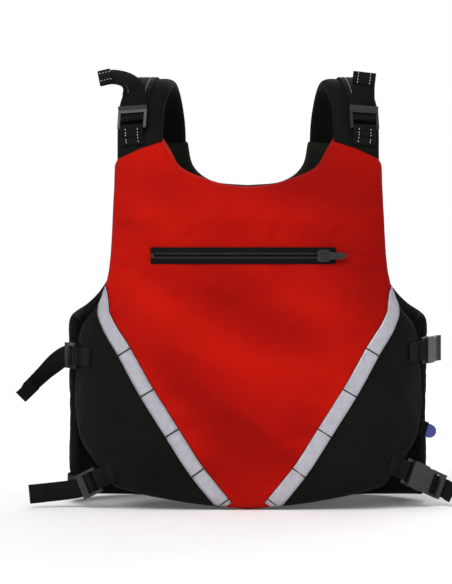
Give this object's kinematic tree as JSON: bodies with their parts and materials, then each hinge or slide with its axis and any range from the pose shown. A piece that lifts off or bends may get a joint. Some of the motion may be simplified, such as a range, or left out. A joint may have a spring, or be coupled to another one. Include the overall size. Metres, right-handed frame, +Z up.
{
  "type": "life jacket",
  "caption": "Sleeveless foam buoyancy jacket with red and black panels, a reflective V, a zip pocket, adjustable shoulder straps and side straps with buckles.",
  "frame": {"origin": "middle of the back panel's bottom edge, on the outer foam sheet", "axes": "+Z up the jacket, -Y towards its front, +X to the right as seen from the front"},
  "size_m": [0.5829, 0.2887, 0.5736],
  "materials": {
    "red_nylon": "matt woven nylon, bright red",
    "black_nylon": "matt woven nylon, black",
    "lining_cloth": "black mesh-backed lining",
    "foam_sheet": "closed-cell foam sheet",
    "webbing": "black woven webbing",
    "reflective_tape": "silver retro-reflective tape",
    "zip_cloth": "black zip tape",
    "acetal": "moulded black plastic",
    "whistle_plastic": "translucent violet-blue plastic"
  },
  "bodies": {
    "jacket": {"front_cover_centre": "red_nylon", "back_cover_centre": "red_nylon", "front_cover_left": "black_nylon", "front_cover_right": "black_nylon", "wing_cover_left": "black_nylon", "wing_cover_right": "black_nylon", "shoulder_pad_left": "black_nylon", "shoulder_pad_right": "black_nylon", "front_lining": "lining_cloth", "back_lining": "lining_cloth", "wing_lining_left": "lining_cloth", "wing_lining_right": "lining_cloth", "pocket_bag": "lining_cloth", "front_foam_outer": "foam_sheet", "front_foam_inner": "foam_sheet", "back_foam_outer": "foam_sheet", "back_foam_inner": "foam_sheet", "wing_foam_left": "foam_sheet", "wing_foam_right": "foam_sheet", "reflective_tape_left": "reflective_tape", "reflective_tape_right": "reflective_tape", "zip_tape_upper": "zip_cloth", "zip_tape_lower": "zip_cloth", "zip_teeth_upper": "acetal", "zip_teeth_lower": "acetal", "zip_bottom_stop": "acetal", "whistle_loop": "webbing", "shoulder_anchor_left": "webbing", "shoulder_strap_left": "webbing", "shoulder_anchor_right": "webbing", "shoulder_strap_right": "webbing", "side_anchor_upper_left": "webbing", "side_strap_upper_left": "webbing", "side_anchor_lower_left": "webbing", "side_strap_lower_left": "webbing", "buckle_socket_upper_right": "acetal", "socket_anchor_upper_right": "webbing", "plug_strap_upper_right": "webbing", "buckle_socket_lower_right": "acetal", "socket_anchor_lower_right": "webbing", "plug_strap_lower_right": "webbing"},
    "zip_slider": {"zip_slider": "acetal"},
    "zip_puller": {"zip_pull": "acetal"},
    "whistle": {"whistle": "whistle_plastic"},
    "shoulder_lock_left": {"shoulder_lock_left": "acetal", "shoulder_tail_left": "webbing"},
    "shoulder_lock_right": {"shoulder_lock_right": "acetal", "shoulder_tail_right": "webbing"},
    "side_lock_upper_left": {"side_lock_upper_left": "acetal", "side_tail_upper_left": "webbing"},
    "side_lock_lower_left": {"side_lock_lower_left": "acetal", "side_tail_lower_left": "webbing"},
    "buckle_plug_upper_right": {"buckle_plug_upper_right": "acetal", "plug_tail_upper_right": "webbing"},
    "plug_arm_upper_right_a": {"plug_arm_upper_right_a": "acetal"},
    "plug_arm_upper_right_b": {"plug_arm_upper_right_b": "acetal"},
    "buckle_plug_lower_right": {"buckle_plug_lower_right": "acetal", "plug_tail_lower_right": "webbing"},
    "plug_arm_lower_right_a": {"plug_arm_lower_right_a": "acetal"},
    "plug_arm_lower_right_b": {"plug_arm_lower_right_b": "acetal"}
  },
  "joints": [
    {"name": "zip_slide", "type": "slide", "parent": "jacket", "child": "zip_slider", "axis": [-1, 0, 0], "range_m": [0, 0.208]},
    {"name": "zip_puller_swing", "type": "hinge", "parent": "zip_slider", "child": "zip_puller", "pos_m": [0.0975, -0.2774, 0.332], "axis": [0, 0, -1], "range_deg": [0, 165]},
    {"name": "whistle_pull", "type": "slide", "parent": "jacket", "child": "whistle", "axis": [0.9541, 0.0486, -0.2955], "range_m": [0, 0.028]},
    {"name": "shoulder_lock_left_tilt", "type": "hinge", "parent": "jacket", "child": "shoulder_lock_left", "pos_m": [-0.15189, -0.22476, 0.49729], "axis": [0.9739, -0.2148, 0.0736], "range_deg": [0, 55]},
    {"name": "shoulder_lock_right_tilt", "type": "hinge", "parent": "jacket", "child": "shoulder_lock_right", "pos_m": [0.15189, -0.22476, 0.49729], "axis": [0.9739, 0.2148, -0.0736], "range_deg": [0, 55]},
    {"name": "side_lock_upper_left_tilt", "type": "hinge", "parent": "jacket", "child": "side_lock_upper_left", "pos_m": [-0.22704, -0.20355, 0.197], "axis": [0, 0, 1], "range_deg": [0, 55]},
    {"name": "side_lock_lower_left_tilt", "type": "hinge", "parent": "jacket", "child": "side_lock_lower_left", "pos_m": [-0.19689, -0.24315, 0.03859], "axis": [-0.3619, 0.1817, 0.9143], "range_deg": [0, 55]},
    {"name": "buckle_release_upper_right", "type": "slide", "parent": "jacket", "child": "buckle_plug_upper_right", "axis": [0.309, 0.9511, 0], "range_m": [0, 0.03], "deforming": ["plug_strap_upper_right", "plug_arm_upper_right_a", "plug_arm_upper_right_b"]},
    {"name": "arm_squeeze_upper_right_a", "type": "hinge", "parent": "buckle_plug_upper_right", "child": "plug_arm_upper_right_a", "pos_m": [0.24126, -0.16433, 0.2145], "axis": [0.9511, -0.309, 0], "range_deg": [0, 8], "stiffness_Nm_per_rad": 0.06},
    {"name": "arm_squeeze_upper_right_b", "type": "hinge", "parent": "buckle_plug_upper_right", "child": "plug_arm_upper_right_b", "pos_m": [0.24126, -0.16433, 0.1935], "axis": [-0.9511, 0.309, 0], "range_deg": [0, 8], "stiffness_Nm_per_rad": 0.06},
    {"name": "buckle_release_lower_right", "type": "slide", "parent": "jacket", "child": "buckle_plug_lower_right", "axis": [0.6883, 0.6263, -0.3661], "range_m": [0, 0.03], "deforming": ["plug_strap_lower_right", "plug_arm_lower_right_a", "plug_arm_lower_right_b"]},
    {"name": "arm_squeeze_lower_right_a", "type": "hinge", "parent": "buckle_plug_lower_right", "child": "plug_arm_lower_right_a", "pos_m": [0.23473, -0.21422, 0.04598], "axis": [0.6395, -0.7621, -0.1016], "range_deg": [0, 8], "stiffness_Nm_per_rad": 0.06},
    {"name": "arm_squeeze_lower_right_b", "type": "hinge", "parent": "buckle_plug_lower_right", "child": "plug_arm_lower_right_b", "pos_m": [0.22753, -0.21767, 0.02656], "axis": [-0.6395, 0.7621, 0.1016], "range_deg": [0, 8], "stiffness_Nm_per_rad": 0.06}
  ],
  "couplings": [
    {"joint": "arm_squeeze_upper_right_b", "follows": "arm_squeeze_upper_right_a", "ratio": 1},
    {"joint": "arm_squeeze_lower_right_b", "follows": "arm_squeeze_lower_right_a", "ratio": 1}
  ]
}
